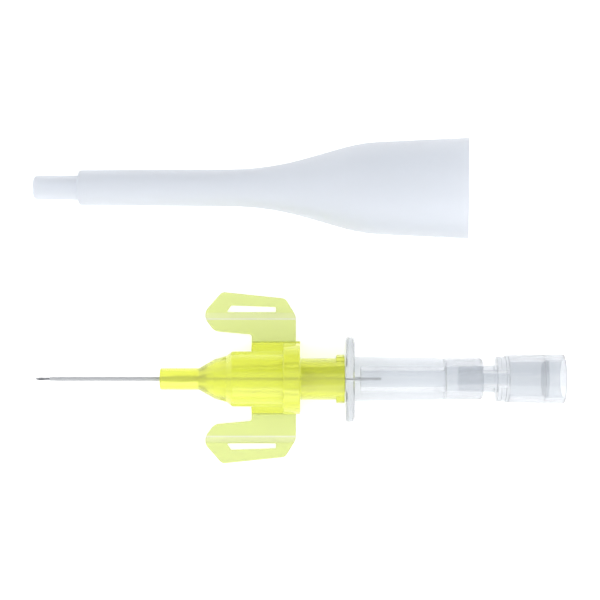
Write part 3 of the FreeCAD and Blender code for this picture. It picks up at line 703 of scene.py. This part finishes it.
class CANNULA_OT_needle(Operator):
    """Makes the hollow needle with its bevel and lancet facets, and the adhesive that holds it"""
    bl_idname = "cannula.needle"
    bl_label = "Make Needle"

    def execute(self, context):
        steel = shared("Drawn stainless steel", drawn_steel)
        tip, rear, outer, inner, chamfer = -20.1, 35.3, 0.23, 0.14, 0.03
        needle = turned("ground_needle", [
            (tip, inner), (tip, outer), (rear - chamfer, outer), (rear, outer - chamfer), (rear, inner),
        ], steel, segments=48, closed=True)
        # The bevel and the two lancet facets, by the pitch and roll of the grinding stone in degrees
        for pitch, roll in ((13, 0), (18, 40), (18, -40)):
            stone = extruded("stone", [(-1, -1), (5.5, -1), (5.5, 1), (-1, 1)], 0, 2, FLAT)
            stone.data.transform(AXIS_PLACE.inverted())
            roll_turn = Euler((math.radians(roll), 0, 0)).to_matrix()
            turn = roll_turn @ Euler((0, math.radians(-pitch), 0)).to_matrix()
            place = AXIS_PLACE @ Matrix.Translation((tip * MM, 0, -outer * MM)) @ turn.to_4x4()
            stone.data.transform(place)
            combine(needle, stone, "DIFFERENCE")
        finished(needle, "needle_tube", "needle_unit", steel, sharp=25)
        glue = shared("Cured acrylic adhesive", cured_adhesive)
        bead = turned("adhesive_bead", rounded([
            (23.0, 0.245), (22.78, 0.7, 0.8), (22.66, 1.23), (24.435, 1.235), (24.435, 0.245),
        ], closed=True), glue, segments=48, closed=True)
        finished(bead, "needle_bond", "needle_unit", glue)
        return {"FINISHED"}


class CANNULA_OT_clear(Operator):
    """Makes the clear needle hub with its thumb flange, chamber and socket, and the vent plug"""
    bl_idname = "cannula.clear"
    bl_label = "Make Clear Parts"

    def execute(self, context):
        sizes = context.scene.cannula_clear
        finish = shared("Moulded clear copolymer", moulded_clear)
        segments = context.scene.cannula_hub.segments
        flange_inside = FLANGE_FRONT + 0.3
        hub = turned("needle_hub_moulding", rounded([
            (22.65, 0), (22.65, 1.905, 0.12), (flange_inside, 2.113), (flange_inside, 3.56),
            (GRIP_START, 3.56), (GRIP_END - 1.7, 3.42, 0.8), (GRIP_END, 3.22, 0.1),
            (GRIP_END + 0.11, 3.31, 0.1), (TAIL_END, 3.31, 0.42), (TAIL_END, 0),
        ]), finish, segments=segments)
        corner, half, top, flange_round = sizes.flange_corner / MM, 6.725, 4.4, 0.42
        plate = rounded([
            (-half, FLOOR, corner), (half, FLOOR, corner), (half, top, corner), (-half, top, corner),
        ], closed=True, steps=12)
        flange = extruded("flange", plate, FLANGE_FRONT, GRIP_START, ACROSS_AXIS, flange_round)
        combine(hub, flange, "UNION")
        chamber, needle_bore, past = sizes.chamber_radius / MM, 0.245, TAIL_END + 0.5
        bore = turned("bore", rounded([
            (22.0, 0), (22.0, 1.25), (24.45, 1.25, 0.1), (24.45, needle_bore), (31.96, needle_bore),
            (31.96, chamber, 0.15), (45.6, chamber, 0.1), (45.6, 1.964, 0.1), (TAIL_END, 2.14),
            (past, 2.155), (past, 0),
        ]), finish, segments=segments)
        combine(hub, bore, "DIFFERENCE")
        finished(hub, "needle_hub", "needle_unit", finish)
        vent, ledge = sizes.vent_radius / MM, 61.32
        plug = turned("vent_plug_moulding", rounded([
            (47.6, vent, 0.08), (47.6, 1.994, 0.15), (53.7, 2.177, 0.1), (53.7, 3.58, 0.12),
            (55.04, 3.58, 0.05), (55.04, 3.75, 0.12), (PLUG_REAR, 3.95, 0.12), (PLUG_REAR, 3.13, 0.12),
            (ledge, 3.13), (ledge, 2.83, 0.08), (55.6, 2.83, 0.2), (55.6, vent, 0.08),
        ], closed=True), finish, segments=segments, closed=True)
        finished(plug, "vent_plug", "plug", finish)
        white = shared("Sintered porous polyethylene", sintered_filter)
        filter_rear = 61.82
        disc = turned("filter_disc", rounded([
            (ledge, 0), (ledge, 3.115, 0.06), (filter_rear, 3.115, 0.06), (filter_rear, 0),
        ]), white, segments=64)
        finished(disc, "vent_filter", "plug", white)
        return {"FINISHED"}


class CANNULA_OT_cap(Operator):
    """Makes the frosted cap: stepped tip, long tube, swept flare and open skirt"""
    bl_idname = "cannula.cap"
    bl_label = "Make Cap"

    def execute(self, context):
        sizes = context.scene.cannula_cap
        wall, rim = sizes.wall / MM, sizes.mouth_radius / MM
        # Stations from the tip, and the radius at three of them
        shoulder, flare, skirt, mouth = 7.4, 37.95, 52.65, 69.73
        shoulder_radius, flare_radius, skirt_radius = 2.8, 2.98, 7.16
        tube_slope = (flare_radius - shoulder_radius) / (flare - shoulder)
        flare_slope = (skirt_radius - flare_radius) / (skirt - flare)
        skirt_slope = (rim - skirt_radius) / (mouth - skirt)
        widening = bend(flare, flare_radius, tube_slope, flare_slope, 12.2)
        widening += bend(skirt, skirt_radius, flare_slope, skirt_slope, 6.1)
        outside = [
            (0, 0), (0, 1.9, 0.35), (shoulder, 1.97, 0.05), (shoulder, shoulder_radius, 0.25), *widening,
            (mouth, rim, 0.15),
        ]
        tube_bore, tip_bore, step = 2.0, 1.1, shoulder + wall
        inside = [
            (mouth, rim - wall, 0.15), *[(x, r - wall) for x, r in reversed(widening)][:-1],
            (widening[0][0], tube_bore), (step, tube_bore, 0.1), (step, tip_bore), (wall, tip_bore, 0.3),
            (wall, 0),
        ]
        # It lies on its shoulder and on the bend of its flare, a little turned against the cannula
        tilt = math.atan(max((r - shoulder_radius) / (x - shoulder) for x, r in widening))
        turned_by, mouth_aside = math.radians(-0.45), 30.23
        turn = Matrix.Rotation(turned_by, 4, "Z") @ Matrix.Rotation(-tilt, 4, "Y")
        finish = shared("Frosted natural polypropylene", frosted_cap)
        cap = turned("cap_moulding", rounded(outside + inside), finish, place=turn, segments=128)
        front = min(vertex.co.x for vertex in cap.data.vertices)
        lowest = min(vertex.co.z for vertex in cap.data.vertices)
        solid_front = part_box("protective_cap")[0].x
        middle = turn @ Vector((mouth * MM, 0, 0))
        shift = (solid_front - front, AXIS_Y + mouth_aside * MM - middle.y, -lowest)
        cap.data.transform(Matrix.Translation(shift))
        finished(cap, "protective_cap", "cannula", finish)
        return {"FINISHED"}


class CANNULA_PT_panel(Panel):
    """The parts of the cannula and their sizes"""
    bl_idname = "CANNULA_PT_panel"
    bl_label = "Winged Cannula"
    bl_space_type = "VIEW_3D"
    bl_region_type = "UI"
    bl_category = "Cannula"

    def draw(self, context):
        layout = self.layout
        for operator in OPERATORS:
            layout.operator(operator.bl_idname)
        for name in GROUPS:
            box = layout.box()
            group = getattr(context.scene, name)
            for prop in group.bl_rna.properties:
                if prop.identifier not in {"rna_type", "name"}:
                    box.prop(group, prop.identifier)


GROUPS = {
    "cannula_hub": CannulaHubSizes,
    "cannula_wings": CannulaWingSizes,
    "cannula_clear": CannulaClearSizes,
    "cannula_cap": CannulaCapSizes,
    "cannula_colours": CannulaColours,
    "cannula_stage": CannulaStage,
}
OPERATORS = (
    CANNULA_OT_stage, CANNULA_OT_hub, CANNULA_OT_wings, CANNULA_OT_catheter, CANNULA_OT_needle,
    CANNULA_OT_clear, CANNULA_OT_cap,
)


def register():
    for name, group in GROUPS.items():
        bpy.utils.register_class(group)
        setattr(bpy.types.Scene, name, PointerProperty(type=group))
    for operator in OPERATORS:
        bpy.utils.register_class(operator)
    bpy.utils.register_class(CANNULA_PT_panel)


def unregister():
    bpy.utils.unregister_class(CANNULA_PT_panel)
    for operator in reversed(OPERATORS):
        bpy.utils.unregister_class(operator)
    for name, group in GROUPS.items():
        delattr(bpy.types.Scene, name)
        bpy.utils.unregister_class(group)


def main():
    """Registers the add-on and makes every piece."""
    register()
    bpy.ops.cannula.stage()
    bpy.ops.cannula.hub()
    bpy.ops.cannula.wings()
    bpy.ops.cannula.catheter()
    bpy.ops.cannula.needle()
    bpy.ops.cannula.clear()
    bpy.ops.cannula.cap()


if __name__ == "__main__":
    main()
